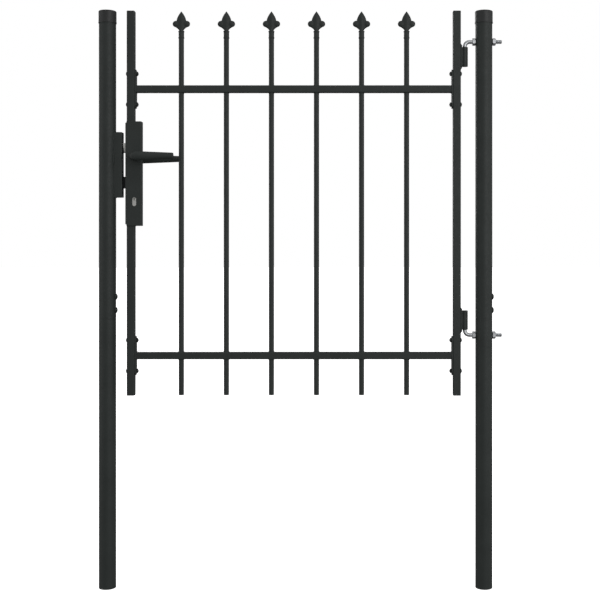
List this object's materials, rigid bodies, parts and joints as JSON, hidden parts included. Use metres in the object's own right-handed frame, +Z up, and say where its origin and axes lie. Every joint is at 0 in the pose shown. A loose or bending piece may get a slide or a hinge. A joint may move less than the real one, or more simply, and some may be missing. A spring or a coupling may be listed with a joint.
{
  "type": "garden gate",
  "caption": "Single barred steel garden gate on two round posts, with spear finials, bolted rod hinges and a lever-handle lock.",
  "frame": {"origin": "on the ground under the middle of the gate's bounding box", "axes": "+Z up, +X from the latch post to the hinge post, +Y from the street side to the garden side"},
  "size_m": [1.05, 0.115, 1.5],
  "materials": {
    "powder_coat": "matt anthracite polyester powder coat on steel",
    "black_plastic": "moulded black polyethylene",
    "zinc_plate": "bright zinc plate",
    "nickel_plate": "satin nickel plate",
    "black_steel": "black oxide on steel"
  },
  "bodies": {
    "posts": {"latch_post_lower_tube": "powder_coat", "latch_post_upper_tube": "powder_coat", "latch_post_cap": "black_plastic", "latch_post_screw_low": "powder_coat", "latch_post_screw_high": "powder_coat", "hinge_post_lower_tube": "powder_coat", "hinge_post_upper_tube": "powder_coat", "hinge_post_cap": "black_plastic", "hinge_post_screw_low": "powder_coat", "hinge_post_screw_high": "powder_coat", "keeper": "powder_coat", "keeper_screw_top": "black_steel", "keeper_screw_bottom": "black_steel", "hinge_bolt_top": "zinc_plate", "hinge_nut_top_outer": "zinc_plate", "hinge_nut_top_inner": "zinc_plate", "hinge_bolt_bottom": "zinc_plate", "hinge_nut_bottom_outer": "zinc_plate", "hinge_nut_bottom_inner": "zinc_plate"},
    "leaf": {"stile_latch": "powder_coat", "stile_latch_plug_top": "black_plastic", "stile_latch_plug_bottom": "black_plastic", "stile_hinge": "powder_coat", "stile_hinge_plug_top": "black_plastic", "stile_hinge_plug_bottom": "black_plastic", "rail_top": "powder_coat", "hinge_barrel_top": "powder_coat", "rail_bolt_top_latch_lower": "powder_coat", "rail_bolt_top_latch_upper": "powder_coat", "rail_bolt_top_hinge_lower": "powder_coat", "rail_bolt_top_hinge_upper": "powder_coat", "rail_bottom": "powder_coat", "hinge_barrel_bottom": "powder_coat", "rail_bolt_bottom_latch_lower": "powder_coat", "rail_bolt_bottom_latch_upper": "powder_coat", "rail_bolt_bottom_hinge_lower": "powder_coat", "rail_bolt_bottom_hinge_upper": "powder_coat", "picket_1": "powder_coat", "finial_1": "powder_coat", "picket_2": "powder_coat", "finial_2": "powder_coat", "picket_3": "powder_coat", "finial_3": "powder_coat", "picket_4": "powder_coat", "finial_4": "powder_coat", "picket_5": "powder_coat", "finial_5": "powder_coat", "picket_6": "powder_coat", "finial_6": "powder_coat", "lock_box": "powder_coat", "lock_case": "powder_coat", "cylinder_housing": "nickel_plate", "follower_spring": "zinc_plate"},
    "handle": {"spindle": "zinc_plate", "follower": "zinc_plate", "lever_front": "powder_coat", "lever_back": "powder_coat"},
    "latch": {"latch_bolt": "nickel_plate"},
    "dead_bolt": {"dead_bolt": "black_steel"},
    "plug": {"cylinder_plug": "nickel_plate"}
  },
  "joints": [
    {"name": "gate_swing", "type": "hinge", "parent": "posts", "child": "leaf", "pos_m": [0.4289, 0, 1], "axis": [0, 0, -1], "range_deg": [0, 110]},
    {"name": "lever_turn", "type": "hinge", "parent": "leaf", "child": "handle", "pos_m": [-0.4294, 0, 1.1195], "axis": [0, 1, 0], "range_deg": [0, 40], "stiffness_Nm_per_rad": 1, "springref_deg": -34.38},
    {"name": "latch_slide", "type": "slide", "parent": "leaf", "child": "latch", "axis": [1, 0, 0], "range_m": [0, 0.012]},
    {"name": "key_turn", "type": "hinge", "parent": "leaf", "child": "plug", "pos_m": [-0.4294, 0, 1.0102], "axis": [0, 1, 0], "range_deg": [0, 90]},
    {"name": "dead_bolt_slide", "type": "slide", "parent": "leaf", "child": "dead_bolt", "axis": [1, 0, 0], "range_m": [0, 0.015]}
  ],
  "couplings": [
    {"joint": "latch_slide", "follows": "lever_turn", "m_per_rad": 0.01718},
    {"joint": "key_turn", "follows": "dead_bolt_slide", "rad_per_m": 104.7}
  ]
}
